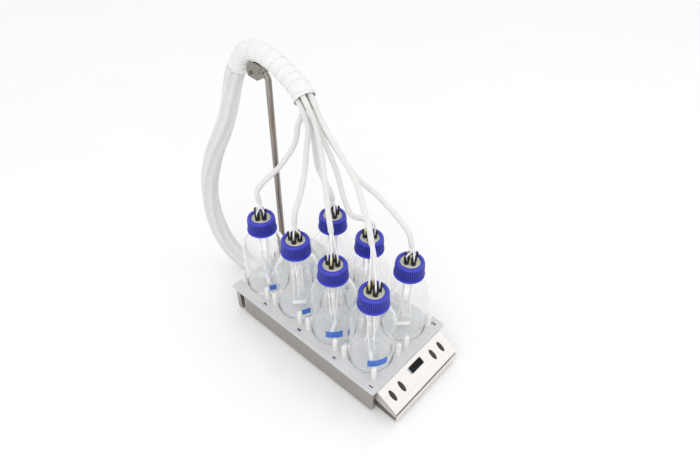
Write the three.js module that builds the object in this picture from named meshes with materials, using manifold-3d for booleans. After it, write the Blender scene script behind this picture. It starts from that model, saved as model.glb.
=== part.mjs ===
// Eight-place magnetic stirrer with seven capped bottles and their tube harness.
// Millimetres, +Z up. The console faces -Y, the support rod stands at the back.
// Positions are counted from the front left: 1 and 2, then 3 and 4, 5 and 6, 7 and the empty 8.
import * as THREE from "three";
import { mergeVertices } from "three/addons/utils/BufferGeometryUtils.js";
import Module from "manifold-3d";

const wasm = await Module();
wasm.setup();

// Driving dimensions
const GAP = 0.3; // clearance kept between pieces that rest on each other
const COLUMN_PITCH = 98;
const ROW_PITCH = 94;
const ROWS = 4;
const BOTTLES = [1, 2, 3, 4, 5, 6, 7];

const PLATE = { halfWidth: 108, front: -198, back: 188, top: 63, thickness: 6, corner: 5 };
const PLATE_BOTTOM = PLATE.top - PLATE.thickness;
const PEG = { radius: 5, height: 32, outerOffset: 32.8, innerOffset: 37.4, rowOffset: 35.6 };
const HOUSING = { halfWidth: 104, front: -194, back: 160, bottom: 4, wall: 2 };
const FOOT = { radius: 9, x: 88, frontY: -180, backY: 100 };
const REAR_FRAME = { halfWidth: 103, post: 11, front: 171, back: 182, beam: 40 };

const CONSOLE = { topY: -197, topZ: 54, frontY: -242, frontZ: 30, halfWidth: 94 };
const FACE_DROP = CONSOLE.topZ - CONSOLE.frontZ;
const FACE_RUN = CONSOLE.topY - CONSOLE.frontY;
const FACE_ANGLE = Math.atan2(FACE_DROP, FACE_RUN);
const FACE_LENGTH = Math.hypot(FACE_DROP, FACE_RUN);
const FACEPLATE_THICKNESS = 1.2;
const POCKET = { halfWidth: 88, top: -3, bottom: -38, floor: -6 };
const CONSOLE_UNDER = { frontZ: 17, backZ: 27.5 };
const SHELF = { front: -243, bottom: 6, top: 8.5, lipBack: -242.2, lipTop: 24 };
const KEY = { length: 21.6, width: 8.6, down: 23.4, above: 1, below: 3.2, fit: 0.35 };
const KEY_X = [-75, -49, 46, 71];
const DISPLAY = { left: -15, right: 20, top: -8.5, bottom: -21.7 };

const ROD = { x: 46, y: 200, radius: 6, foot: 12, bend: 458, tip: 474.5, lean: 7.5 };
const BRACKET = { left: 30, right: 62, back: 212, bottom: 18, top: 50 };
const CRADLE = { halfWidth: 9.5, screwY: 236, screwZ: 469, screwRadius: 3.2 };

const GLASS = { body: 43, heel: 36, neck: 21.4, wall: 2.4, floor: 3.5, shoulder: 98, rim: 168.5 };
const CAP = { skirt: 145, top: 175.8, radius: 27, flange: 28.4, bore: 22.8, hole: 18.9, lip: 171.3 };
const INSERT = { flange: 21.5, disc: 18.2, bottom: 168.8, shoulder: 171, top: 173.5 };
const FITTING = { spread: 9, radius: 4.3, height: 7, claw: 9.5, clawWidth: 5, clawThickness: 1.8 };
const FITTING_YAW = [55, 73, 27, 39, 31, 70, 5];
const STUB = { radius: 1.6, straight: 12, spread: 2.7, top: 199 };
const STIR_BAR = { length: 30, radius: 4, yaw: [50, -45, 30, -20, -45, 10, 60] };

const SLEEVE_RADIUS = 4.6;
const WRAP_RADIUS = 19;
const TRUNK_RADIUS = 19;

// Routes of the soft tubes, from the wrap's ends outwards
const WRAP_ROUTE = [
  [36, 96, 468.5], [39.5, 109, 478], [43.5, 133, 487], [45.5, 155, 495.5], [46, 176, 504], [46, 198, 509],
  [46, 220, 511], [46, 241, 507], [46, 257, 498], [46, 271, 482], [45.6, 279, 470], [45, 284, 462.5],
];
const TRUNK_ROUTE = [
  [44.9, 284.8, 461.3], [44.2, 289, 455], [40, 297, 430], [33, 301, 400], [24, 306, 365],
  [12, 316, 325], [1, 331, 286], [-8, 345, 240], [-16, 352, 195], [-22, 350, 150],
  [-26, 338, 106], [-26, 318, 68], [-22, 292, 38], [-17, 263, 23], [-15, 246, 21], [-15, 234.5, 21],
];
const SLEEVE_ROUTES = {
  1: [
    [39.5, 86.5, 476.5], [36.5, 76.5, 469], [40, 61, 437], [30, 16, 407], [6, -46, 386],
    [-17, -84, 368], [-34, -112, 349], [-43, -127, 328],
  ],
  2: [
    [47.5, 91, 467.5], [44.5, 81, 460], [52, 75, 425.5], [58, 50, 386], [58, -2, 346],
    [56, -56, 332], [52, -103, 314], [49.5, -132, 296], [49, -141, 272],
  ],
  3: [
    [27, 90, 476.5], [24, 80, 469], [31, 67, 431.5], [24.5, 49.5, 388],
    [4, 20, 345], [-25, -14, 322], [-42, -37, 300],
  ],
  4: [
    [35, 94.5, 467.5], [32, 84.5, 460], [41, 75, 425.5], [46.5, 61.5, 392], [46, 34, 346],
    [38, 6, 300], [37, -13, 277], [42, -34, 278], [48, -44, 275],
  ],
  5: [
    [22.5, 98, 467.5], [19.5, 87.5, 460], [25.5, 80, 423.5], [23.5, 83.5, 386],
    [8, 76, 340], [-22, 59, 312], [-44, 49, 296], [-49, 47, 272],
  ],
  6: [
    [43, 99, 458.5], [40, 89, 451], [47.5, 93, 417.5], [53.5, 95.5, 370],
    [55, 88, 322], [52, 68, 302], [49.5, 52, 289], [49, 47, 272],
  ],
  7: [
    [30.5, 102.5, 458.5], [27.5, 93, 451], [23.5, 103, 421], [21.5, 112.5, 380],
    [-6, 127, 337], [-34, 142, 310], [-48, 146, 293], [-49, 141, 272],
  ],
};

// Where the thin tubes of a cap meet, in the bottle's own frame, if not straight above it
const BUNDLE_TOP = {
  1: { x: 3, y: 8, z: 254 },
  3: { x: 2.5, y: 4, z: 225 },
  4: { x: -0.5, y: 1.5, z: 199 },
};

// Materials
const material = (color, roughness, metalness) =>
  new THREE.MeshStandardMaterial({ color, roughness, metalness });
const GLASS_CLEAR = new THREE.MeshStandardMaterial({
  color: 0xeef4f4, roughness: 0.05, metalness: 0, transparent: true, opacity: 0.35,
});
const STEEL = material(0xc9c4be, 0.35, 1);
const PLATE_GREY = material(0xc8cbcd, 0.4, 0.6);
const DARK_STEEL = material(0x5c5854, 0.45, 0.8);
const BLACK_PLASTIC = material(0x151515, 0.5, 0);
const BLACK_RUBBER = material(0x1c1c1c, 0.9, 0);
const BOARD_GREEN = material(0x1f5a38, 0.6, 0);
const CAP_BLUE = material(0x2c33b8, 0.45, 0);
const PEEK_BEIGE = material(0xd9d2b8, 0.5, 0);
const PTFE_WHITE = material(0xf2f2f0, 0.5, 0);
const TUBE_WHITE = material(0xeceae6, 0.5, 0);

// Everything is placed in the frame of the bottle grid and centred at the end.
const assembly = new THREE.Group();

function add(name, geometry, look, parent = assembly) {
  const mesh = new THREE.Mesh(geometry, look);
  mesh.name = name;
  parent.add(mesh);
  return mesh;
}

// Geometry helpers
function slab(shape, bottom, top, curveSegments = 4) {
  const geometry = new THREE.ExtrudeGeometry(shape, {
    depth: top - bottom, bevelEnabled: false, curveSegments,
  });
  return geometry.translate(0, 0, bottom);
}

function box(x0, x1, y0, y1, z0, z1) {
  const geometry = new THREE.BoxGeometry(x1 - x0, y1 - y0, z1 - z0);
  return geometry.translate((x0 + x1) / 2, (y0 + y1) / 2, (z0 + z1) / 2);
}

function roundedRectangle(x0, x1, y0, y1, r) {
  const shape = new THREE.Shape();
  shape.absarc(x1 - r, y0 + r, r, -Math.PI / 2, 0, false);
  shape.absarc(x1 - r, y1 - r, r, 0, Math.PI / 2, false);
  shape.absarc(x0 + r, y1 - r, r, Math.PI / 2, Math.PI, false);
  shape.absarc(x0 + r, y0 + r, r, Math.PI, Math.PI * 1.5, false);
  return shape;
}

function oval(shape, x, y, width, length) {
  shape.absellipse(x, y, width / 2, length / 2, 0, Math.PI * 2, false, 0);
  return shape;
}

function profileAcrossX(points, x0, x1) {
  const shape = new THREE.Shape(points.map(([y, z]) => new THREE.Vector2(y, z)));
  const geometry = new THREE.ExtrudeGeometry(shape, { depth: x1 - x0, bevelEnabled: false });
  const toX = new THREE.Matrix4().makeBasis(
    new THREE.Vector3(0, 1, 0), new THREE.Vector3(0, 0, 1), new THREE.Vector3(1, 0, 0),
  );
  return geometry.applyMatrix4(toX).translate(x0, 0, 0);
}

function turned(points, segments) {
  const profile = points.map(([r, z]) => new THREE.Vector2(r, z));
  return new THREE.LatheGeometry(profile, segments).rotateX(Math.PI / 2);
}

function rod(radius, z0, z1, segments) {
  return turned([[0, z0], [radius, z0], [radius, z1], [0, z1]], segments);
}

function circleSection(radius, sides) {
  const corners = [];
  for (let i = 0; i < sides; i += 1) {
    const angle = (i / sides) * Math.PI * 2;
    corners.push(new THREE.Vector2(radius * Math.cos(angle), radius * Math.sin(angle)));
  }
  return new THREE.Shape(corners);
}

function tube(route, radius, sides, steps) {
  const extrudePath = new THREE.CatmullRomCurve3(route.map((p) => new THREE.Vector3(...p)));
  return new THREE.ExtrudeGeometry(circleSection(radius, sides), { steps, extrudePath });
}

// Booleans
function toSolid(geometry) {
  const bare = geometry.clone();
  bare.deleteAttribute("normal");
  bare.deleteAttribute("uv");
  const merged = mergeVertices(bare, 1e-4);
  const source = merged.index.array;
  const triVerts = [];
  for (let i = 0; i < source.length; i += 3) {
    const [a, b, c] = [source[i], source[i + 1], source[i + 2]];
    if (a !== b && b !== c && c !== a) triVerts.push(a, b, c);
  }
  const mesh = new wasm.Mesh({
    numProp: 3,
    vertProperties: merged.attributes.position.array,
    triVerts: Uint32Array.from(triVerts),
  });
  return new wasm.Manifold(mesh);
}

function toGeometry(solid) {
  const mesh = solid.getMesh();
  const geometry = new THREE.BufferGeometry();
  geometry.setAttribute("position", new THREE.BufferAttribute(Float32Array.from(mesh.vertProperties), 3));
  geometry.setIndex(new THREE.BufferAttribute(Uint32Array.from(mesh.triVerts), 1));
  geometry.computeVertexNormals();
  return geometry;
}

const join = (...parts) => toGeometry(parts.map(toSolid).reduce((a, b) => a.add(b)));
const cut = (part, ...tools) =>
  toGeometry(tools.map(toSolid).reduce((a, b) => a.subtract(b), toSolid(part)));

// Places
function placeOf(position) {
  const column = position % 2 === 1 ? -1 : 1;
  const row = Math.ceil(position / 2) - (ROWS + 1) / 2;
  return { column, x: (column * COLUMN_PITCH) / 2, y: row * ROW_PITCH };
}

function pegPlaces() {
  const places = [];
  for (let position = 1; position <= 2 * ROWS; position += 1) {
    const { column, x, y } = placeOf(position);
    for (const side of [-1, 1]) {
      places.push([x + column * PEG.outerOffset, y + side * PEG.rowOffset]);
      places.push([x - column * PEG.innerOffset, y + side * PEG.rowOffset]);
    }
  }
  return places;
}

// Base
function addBase() {
  const outside = roundedRectangle(
    -HOUSING.halfWidth, HOUSING.halfWidth, HOUSING.front, HOUSING.back, PLATE.corner,
  );
  const inside = box(
    -HOUSING.halfWidth + HOUSING.wall, HOUSING.halfWidth - HOUSING.wall,
    HOUSING.front + HOUSING.wall, HOUSING.back - HOUSING.wall,
    HOUSING.bottom + HOUSING.wall, PLATE.top,
  );
  const shelf = box(
    -CONSOLE.halfWidth, CONSOLE.halfWidth, SHELF.front, HOUSING.front + HOUSING.wall / 2,
    SHELF.bottom, SHELF.top,
  );
  const lip = box(
    -CONSOLE.halfWidth, CONSOLE.halfWidth, SHELF.front, SHELF.lipBack, SHELF.bottom, SHELF.lipTop,
  );
  const tray = cut(slab(outside, HOUSING.bottom, PLATE_BOTTOM - GAP), inside);
  add("base_housing", join(tray, shelf, lip), STEEL);

  let foot = 1;
  for (const y of [FOOT.frontY, FOOT.backY]) {
    for (const x of [-FOOT.x, FOOT.x]) {
      const mesh = add(`foot_${foot}`, rod(FOOT.radius, 0, HOUSING.bottom - GAP, 12), BLACK_RUBBER);
      mesh.position.set(x, y, 0);
      foot += 1;
    }
  }

  const { halfWidth, post, front, back, beam } = REAR_FRAME;
  const outline = box(-halfWidth, halfWidth, front, back, 0, PLATE_BOTTOM - GAP);
  const gap = box(-halfWidth + post, halfWidth - post, front - 1, back + 1, -1, beam);
  add("rear_frame", cut(outline, gap), STEEL);
}

function addRack() {
  const outline = roundedRectangle(
    -PLATE.halfWidth, PLATE.halfWidth, PLATE.front, PLATE.back, PLATE.corner,
  );
  const { radius, height } = PEG;
  const profile = [[0, -1], [radius, -1], [radius, height - 3.5], [radius * 0.7, height - 0.8], [0, height]];
  const pegs = pegPlaces().map(([x, y]) => turned(profile, 6).translate(x, y, PLATE.top));
  add("rack_plate", join(slab(outline, PLATE_BOTTOM, PLATE.top), ...pegs), PLATE_GREY);
}

function addDrive() {
  const coilBoardZ = 34;
  const standoffs = [];
  for (const x of [-88, 88]) {
    for (const y of [-172, -8, 144]) {
      standoffs.push(rod(4, HOUSING.bottom + HOUSING.wall + GAP, coilBoardZ + 1, 8).translate(x, y, 0));
    }
  }
  const coils = [];
  for (let position = 1; position <= 2 * ROWS; position += 1) {
    const { x, y } = placeOf(position);
    coils.push(rod(14, coilBoardZ + 1, coilBoardZ + 16, 12).translate(x, y, 0));
  }
  const board = box(-96, 96, -182, 154, coilBoardZ, coilBoardZ + 2);
  add("coil_board", join(board, ...standoffs, ...coils), BOARD_GREEN);

  const controlZ = 12;
  const control = box(-60, 60, -176, -90, controlZ, controlZ + 1.6);
  const legs = [];
  for (const x of [-54, 54]) {
    for (const y of [-170, -96]) {
      legs.push(rod(3, HOUSING.bottom + HOUSING.wall + GAP, controlZ + 1, 8).translate(x, y, 0));
    }
  }
  const parts = [
    box(-40, -8, -160, -120, controlZ + 1, controlZ + 12),
    box(6, 18, -150, -138, controlZ + 1, controlZ + 4),
    box(30, 50, -165, -110, controlZ + 1, controlZ + 9),
  ];
  add("control_board", join(control, ...legs, ...parts), BOARD_GREEN);
}

// Console: the slope group's X runs across, Y up the slope and Z out of the face.
function addConsole() {
  const slope = new THREE.Group();
  slope.position.set(0, CONSOLE.topY, CONSOLE.topZ);
  slope.rotation.x = FACE_ANGLE;
  assembly.add(slope);

  const face = (down, out) => [
    CONSOLE.topY + down * Math.cos(FACE_ANGLE) - out * Math.sin(FACE_ANGLE),
    CONSOLE.topZ + down * Math.sin(FACE_ANGLE) + out * Math.cos(FACE_ANGLE),
  ];
  const back = HOUSING.front - GAP;
  const under = -(FACEPLATE_THICKNESS + GAP);
  const topDown = (back - CONSOLE.topY + under * Math.sin(FACE_ANGLE)) / Math.cos(FACE_ANGLE);
  const frontTop = face(-FACE_LENGTH, under);
  const wedge = profileAcrossX(
    [
      face(topDown, under), frontTop, [frontTop[0] + 0.5, CONSOLE_UNDER.frontZ],
      [back, CONSOLE_UNDER.backZ],
    ],
    -CONSOLE.halfWidth, CONSOLE.halfWidth,
  );
  const pocket = box(
    -POCKET.halfWidth, POCKET.halfWidth, POCKET.bottom, POCKET.top, POCKET.floor, 2,
  );
  pocket.applyMatrix4(new THREE.Matrix4().makeRotationX(FACE_ANGLE));
  pocket.translate(0, CONSOLE.topY, CONSOLE.topZ);
  add("console_shell", cut(wedge, pocket), STEEL);

  const plate = roundedRectangle(-CONSOLE.halfWidth, CONSOLE.halfWidth, -FACE_LENGTH, 0, 1.5);
  for (const x of KEY_X) {
    const hole = new THREE.Path();
    plate.holes.push(oval(hole, x, -KEY.down, KEY.width + 2 * KEY.fit, KEY.length + 2 * KEY.fit));
  }
  const window = new THREE.Path();
  window.moveTo(DISPLAY.left - GAP, DISPLAY.bottom - GAP);
  window.lineTo(DISPLAY.right + GAP, DISPLAY.bottom - GAP);
  window.lineTo(DISPLAY.right + GAP, DISPLAY.top + GAP);
  window.lineTo(DISPLAY.left - GAP, DISPLAY.top + GAP);
  plate.holes.push(window);
  add("console_faceplate", slab(plate, -FACEPLATE_THICKNESS, 0, 8), STEEL, slope);

  const boardTop = -4.5;
  add("key_board", box(-85, 85, -36, -6, boardTop - 1.1, boardTop), BOARD_GREEN, slope);
  const display = box(
    DISPLAY.left, DISPLAY.right, DISPLAY.bottom, DISPLAY.top, boardTop + GAP, -0.15,
  );
  add("display_window", display, BLACK_PLASTIC, slope);

  KEY_X.forEach((x, index) => {
    const key = slab(oval(new THREE.Shape(), 0, 0, KEY.width, KEY.length), -KEY.below, KEY.above, 8);
    const mesh = add(`key_${index + 1}`, key, BLACK_PLASTIC, slope);
    mesh.position.set(x, -KEY.down, 0);
  });
}

// Support rod, its bracket on the rear frame, and the cradle under the wrap
function addSupport() {
  const bracket = new THREE.Shape();
  const front = REAR_FRAME.back + GAP;
  bracket.moveTo(BRACKET.left, front);
  bracket.lineTo(BRACKET.right, front);
  bracket.lineTo(BRACKET.right, BRACKET.back);
  bracket.lineTo(BRACKET.left, BRACKET.back);
  const bore = new THREE.Path();
  bore.absarc(ROD.x, ROD.y, ROD.radius + 0.5, 0, Math.PI * 2, true);
  bracket.holes.push(bore);
  add("rod_bracket", slab(bracket, BRACKET.bottom, BRACKET.top, 8), DARK_STEEL);

  const screw = join(rod(4, -6, 1, 8), rod(7, 0, 12, 12));
  const screwMesh = add("bracket_screw", screw, BLACK_PLASTIC);
  screwMesh.rotation.y = -Math.PI / 2;
  screwMesh.position.set(BRACKET.left - 6 - GAP, ROD.y, (BRACKET.bottom + BRACKET.top) / 2);

  const bendStart = new THREE.Vector3(ROD.x, ROD.y, ROD.bend - 4);
  const bendMiddle = new THREE.Vector3(ROD.x, ROD.y, ROD.tip - ROD.lean);
  const bendEnd = new THREE.Vector3(ROD.x, ROD.y + ROD.lean, ROD.tip);
  const bend = new THREE.ExtrudeGeometry(circleSection(ROD.radius - 0.05, 12), {
    steps: 5, extrudePath: new THREE.QuadraticBezierCurve3(bendStart, bendMiddle, bendEnd),
  });
  const upright = rod(ROD.radius, ROD.foot, ROD.bend, 12).translate(ROD.x, ROD.y, 0);
  add("support_rod", join(upright, bend), STEEL);

  const cradle = profileAcrossX(
    [
      [220, 458], [213.5, 469.2], [203.5, 479.2], [206, 489.4], [220, 490.8], [232, 489],
      [241.5, 484], [247, 478], [249, 470], [245, 460],
    ].reverse(),
    ROD.x - CRADLE.halfWidth, ROD.x + CRADLE.halfWidth,
  );
  add("cradle_block", cradle, DARK_STEEL);
  const head = rod(CRADLE.screwRadius, 0, 3, 10).rotateY(-Math.PI / 2);
  const cradleScrew = add("cradle_screw", head, STEEL);
  cradleScrew.position.set(ROD.x - CRADLE.halfWidth - GAP, CRADLE.screwY, CRADLE.screwZ);
}

// Bottles
function bottleGeometry() {
  const { body, heel, neck, wall, floor, shoulder, rim } = GLASS;
  const outside = [
    [0, 0], [heel, 0], [40.5, 1.8], [body, 7], [body, shoulder], [40.6, 111], [33.5, 123], [25.5, 132],
    [neck + 0.6, 139], [neck, 144], [neck, rim],
  ];
  const inside = [
    [neck - 4, rim], [neck - 4, 139], [23, 130.5], [31.5, 121], [38.2, 110], [body - wall, shoulder - 1],
    [body - wall, 8], [heel, floor], [0, floor],
  ];
  return turned([...outside, ...inside], 16);
}

function capGeometry() {
  const { skirt, top, radius, flange, bore, hole, lip } = CAP;
  return turned(
    [
      [bore, skirt], [flange, skirt], [flange, skirt + 4], [radius, skirt + 5], [radius, top - 4],
      [radius - 3, top], [hole, top], [hole, lip], [bore, lip], [bore, skirt],
    ],
    24,
  );
}

// A thin tube from its fitting to the bundle that meets the sleeve
function stubGeometry(x, y, angle, crown, bundle) {
  const route = [
    [x, y, crown - 1], [x, y, crown + STUB.straight],
    [bundle.x + STUB.spread * Math.cos(angle), bundle.y + STUB.spread * Math.sin(angle), bundle.z],
  ];
  return tube(route, STUB.radius, 5, 4);
}

function insertGeometry(turn, bundle) {
  const parts = [
    turned(
      [
        [0, INSERT.bottom], [INSERT.flange, INSERT.bottom], [INSERT.flange, INSERT.shoulder],
        [INSERT.disc, INSERT.shoulder], [INSERT.disc, INSERT.top], [0, INSERT.top],
      ],
      24,
    ),
  ];
  for (let i = 0; i < 4; i += 1) {
    const angle = turn + (i * Math.PI) / 2;
    const x = FITTING.spread * Math.cos(angle);
    const y = FITTING.spread * Math.sin(angle);
    const crown = INSERT.top + FITTING.height;
    parts.push(rod(FITTING.radius, INSERT.top - 1, crown, 6).translate(x, y, 0));
    for (const side of [-1, 1]) {
      const inner = FITTING.radius - FITTING.clawThickness;
      const claw = box(
        inner, FITTING.radius, -FITTING.clawWidth / 2, FITTING.clawWidth / 2,
        crown - 1, crown + FITTING.claw,
      );
      parts.push(claw.rotateZ(angle + (side * Math.PI) / 2).translate(x, y, 0));
    }
    parts.push(stubGeometry(x, y, angle, crown, bundle));
  }
  return join(...parts);
}

function stirBarGeometry() {
  const half = STIR_BAR.length / 2;
  const r = STIR_BAR.radius;
  const profile = [
    [0, -half], [r * 0.7, -half + 1], [r, -half + 4], [r, half - 4], [r * 0.7, half - 1], [0, half],
  ];
  return turned(profile, 8).rotateY(Math.PI / 2);
}

function addBottles() {
  const bottle = bottleGeometry();
  const cap = capGeometry();
  const bar = stirBarGeometry();
  for (const position of BOTTLES) {
    const place = new THREE.Group();
    const { x, y } = placeOf(position);
    place.position.set(x, y, PLATE.top + GAP);
    assembly.add(place);
    add(`bottle_${position}`, bottle, GLASS_CLEAR, place);
    add(`cap_${position}`, cap, CAP_BLUE, place);
    const turn = THREE.MathUtils.degToRad(FITTING_YAW[position - 1]);
    const bundle = BUNDLE_TOP[position] ?? { x: 0, y: 0, z: STUB.top };
    add(`port_insert_${position}`, insertGeometry(turn, bundle), PEEK_BEIGE, place);
    const barMesh = add(`stir_bar_${position}`, bar, PTFE_WHITE, place);
    barMesh.position.z = GLASS.floor + STIR_BAR.radius + GAP;
    barMesh.rotation.z = THREE.MathUtils.degToRad(STIR_BAR.yaw[position - 1]);
  }
}

// Tube harness
function addHarness() {
  add("spiral_wrap", tube(WRAP_ROUTE, WRAP_RADIUS, 12, 22), TUBE_WHITE);
  for (const position of BOTTLES) {
    const sleeve = tube(SLEEVE_ROUTES[position], SLEEVE_RADIUS, 8, 24);
    add(`sleeve_${position}`, sleeve, TUBE_WHITE);
  }
}

// The free bundle behind the wrap and the connector block that it ends in
function addFreeBundle() {
  add("rear_trunk", tube(TRUNK_ROUTE, TRUNK_RADIUS, 10, 26), TUBE_WHITE);
  add("bundle_connector", box(-36, 8, 190, 233.2, 0, 42), TUBE_WHITE);
}

addBase();
addRack();
addDrive();
addConsole();
addSupport();
addBottles();
addHarness();

// The origin is under the middle of the object itself, without the free bundle.
const footprint = new THREE.Box3().setFromObject(assembly, true);
addFreeBundle();
assembly.position.y = -(footprint.min.y + footprint.max.y) / 2;

const group = new THREE.Group();
group.add(assembly);

export default group;
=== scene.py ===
"""An eight-place magnetic stirrer with seven capped bottles and the tube harness above them.

Lengths are millimetres in the grid frame: x = 0 and y = 0 are the middle of the bottle grid and
z = 0 is the bench. The function at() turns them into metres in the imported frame.
"""

import math

import bmesh
import bpy
from mathutils import Matrix, Vector


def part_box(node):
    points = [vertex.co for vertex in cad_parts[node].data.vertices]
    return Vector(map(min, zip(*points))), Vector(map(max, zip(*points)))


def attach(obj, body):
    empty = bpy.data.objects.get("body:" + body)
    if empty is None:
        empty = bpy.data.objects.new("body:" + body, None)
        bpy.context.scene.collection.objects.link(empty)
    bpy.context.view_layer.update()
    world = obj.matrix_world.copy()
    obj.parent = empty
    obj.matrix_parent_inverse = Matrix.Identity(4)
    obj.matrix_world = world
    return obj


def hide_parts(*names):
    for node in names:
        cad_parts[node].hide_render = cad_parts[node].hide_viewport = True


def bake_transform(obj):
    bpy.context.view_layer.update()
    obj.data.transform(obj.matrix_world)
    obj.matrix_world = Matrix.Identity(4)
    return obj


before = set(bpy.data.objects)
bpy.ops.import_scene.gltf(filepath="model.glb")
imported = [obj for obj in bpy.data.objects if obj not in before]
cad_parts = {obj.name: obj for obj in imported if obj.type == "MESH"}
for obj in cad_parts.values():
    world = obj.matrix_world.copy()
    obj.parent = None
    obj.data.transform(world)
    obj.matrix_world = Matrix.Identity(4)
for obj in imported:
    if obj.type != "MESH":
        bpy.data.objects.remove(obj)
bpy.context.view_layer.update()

# Driving dimensions
MM = 0.001
COLUMN_PITCH = 98
ROW_PITCH = 94
ROWS = 4
BOTTLES = range(1, 8)

PLATE = {"half_width": 108, "front": -198, "back": 188, "top": 63, "thickness": 6, "corner": 5}
PEG = {"radius": 5, "height": 32, "outer": 32.8, "inner": 37.4, "row": 35.6}
STAND = PLATE["top"] + 0.3
CONSOLE = {"top_y": -197, "top_z": 54, "front_y": -242, "front_z": 30, "half_width": 94}
FACE_ANGLE = math.atan2(CONSOLE["top_z"] - CONSOLE["front_z"], CONSOLE["top_y"] - CONSOLE["front_y"])
FACE_LENGTH = math.hypot(CONSOLE["top_z"] - CONSOLE["front_z"], CONSOLE["top_y"] - CONSOLE["front_y"])
KEY = {"length": 21.6, "width": 8.6, "down": 23.4, "fit": 0.35}
KEY_X = (-75, -49, 46, 71)
DISPLAY = {"left": -15, "right": 20, "top": -8.5, "bottom": -21.7}
ROD = {"x": 46, "y": 200, "radius": 6, "foot": 12, "bend": 458, "tip": 474.5, "lean": 7.5}
FITTING = {"spread": 9, "count": 4}
DISC_TOP = 173.5
FITTING_YAW = (55, 73, 27, 39, 31, 70, 5)
STIR_BAR = {"length": 30, "radius": 4, "centre": 7.8, "yaw": (50, -45, 30, -20, -45, 10, 60)}
SLEEVE_RADIUS = 4.95
WRAP_RADIUS = 19
THIN_RADIUS = 1.6

plate_low, plate_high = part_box("rack_plate")
SHIFT = (plate_low.y + plate_high.y) / 2 / MM - (PLATE["front"] + PLATE["back"]) / 2


def at(x, y, z):
    return Vector((x, y + SHIFT, z)) * MM


def place_of(position):
    column = -1 if position % 2 else 1
    row = math.ceil(position / 2) - (ROWS + 1) / 2
    return column * COLUMN_PITCH / 2, row * ROW_PITCH


# Routes of the soft tubes, from the wrap's ends outwards
WRAP_ROUTE = [
    (36, 96, 468.5), (39.5, 109, 478), (43.5, 133, 487), (45.5, 155, 495.5), (46, 176, 504), (46, 198, 509),
    (46, 220, 511), (46, 241, 507), (46, 257, 498), (46, 271, 482), (45.6, 279, 470), (45, 284, 462.5),
]
TRUNK_ROUTE = [
    (44.9, 284.8, 461.3), (44.2, 289, 455), (40, 297, 430), (33, 301, 400), (24, 306, 365),
    (12, 316, 325), (1, 331, 286), (-8, 345, 240), (-16, 352, 195), (-22, 350, 150),
    (-26, 338, 106), (-26, 318, 68), (-22, 292, 38), (-17, 263, 23), (-15, 246, 21), (-15, 234.5, 21),
]
SLEEVE_ROUTES = {
    1: [
        (39.5, 86.5, 476.5), (36.5, 76.5, 469), (40, 61, 437), (30, 16, 407), (6, -46, 386),
        (-17, -84, 368), (-34, -112, 349), (-43, -127, 328),
    ],
    2: [
        (47.5, 91, 467.5), (44.5, 81, 460), (52, 75, 425.5), (58, 50, 386), (58, -2, 346),
        (56, -56, 332), (52, -103, 314), (49.5, -132, 296), (49, -141, 272),
    ],
    3: [
        (27, 90, 476.5), (24, 80, 469), (31, 67, 431.5), (24.5, 49.5, 388),
        (4, 20, 345), (-25, -14, 322), (-42, -37, 300),
    ],
    4: [
        (35, 94.5, 467.5), (32, 84.5, 460), (41, 75, 425.5), (46.5, 61.5, 392), (46, 34, 346),
        (38, 6, 300), (37, -13, 277), (42, -34, 278), (48, -44, 275),
    ],
    5: [
        (22.5, 98, 467.5), (19.5, 87.5, 460), (25.5, 80, 423.5), (23.5, 83.5, 386),
        (8, 76, 340), (-22, 59, 312), (-44, 49, 296), (-49, 47, 272),
    ],
    6: [
        (43, 99, 458.5), (40, 89, 451), (47.5, 93, 417.5), (53.5, 95.5, 370),
        (55, 88, 322), (52, 68, 302), (49.5, 52, 289), (49, 47, 272),
    ],
    7: [
        (30.5, 102.5, 458.5), (27.5, 93, 451), (23.5, 103, 421), (21.5, 112.5, 380),
        (-6, 127, 337), (-34, 142, 310), (-48, 146, 293), (-49, 141, 272),
    ],
}


# Curves and meshes
def smooth_route(points, spans=8):
    """A centripetal Catmull-Rom curve through the points."""
    knots = [Vector(p) for p in points]
    knots = [2 * knots[0] - knots[1], *knots, 2 * knots[-1] - knots[-2]]
    route = []
    for before, start, end, after in zip(knots, knots[1:], knots[2:], knots[3:]):
        lead, own, trail = (math.sqrt((b - a).length) for a, b in
                            ((before, start), (start, end), (end, after)))
        leave = ((start - before) / lead - (end - before) / (lead + own)) * own + (end - start)
        arrive = ((after - end) / trail - (after - start) / (own + trail)) * own + (end - start)
        for step in range(spans):
            u = step / spans
            route.append(
                start * (2 * u**3 - 3 * u**2 + 1) + leave * (u**3 - 2 * u**2 + u)
                + end * (3 * u**2 - 2 * u**3) + arrive * (u**3 - u**2)
            )
    route.append(knots[-2])
    return route


def even_steps(route, step):
    """The same route with its points about one step apart."""
    lengths = [0]
    for a, b in zip(route, route[1:]):
        lengths.append(lengths[-1] + (b - a).length)
    count = max(2, round(lengths[-1] / step))
    even = []
    i = 0
    for n in range(count + 1):
        target = lengths[-1] * n / count
        while i < len(route) - 2 and lengths[i + 1] < target:
            i += 1
        u = (target - lengths[i]) / (lengths[i + 1] - lengths[i])
        even.append(route[i].lerp(route[i + 1], min(1, u)))
    return even


def frames_along(route):
    """For each point its two cross directions, carried along without twist."""
    tangents = []
    for i in range(len(route)):
        tangents.append((route[min(i + 1, len(route) - 1)] - route[max(i - 1, 0)]).normalized())
    side = Vector((1, 0, 0)) - tangents[0] * tangents[0].x
    if side.length < 0.2:
        side = Vector((0, 1, 0)) - tangents[0] * tangents[0].y
    pairs = []
    for tangent in tangents:
        side = (side - tangent * side.dot(tangent)).normalized()
        pairs.append((side, tangent.cross(side)))
    return pairs


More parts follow.
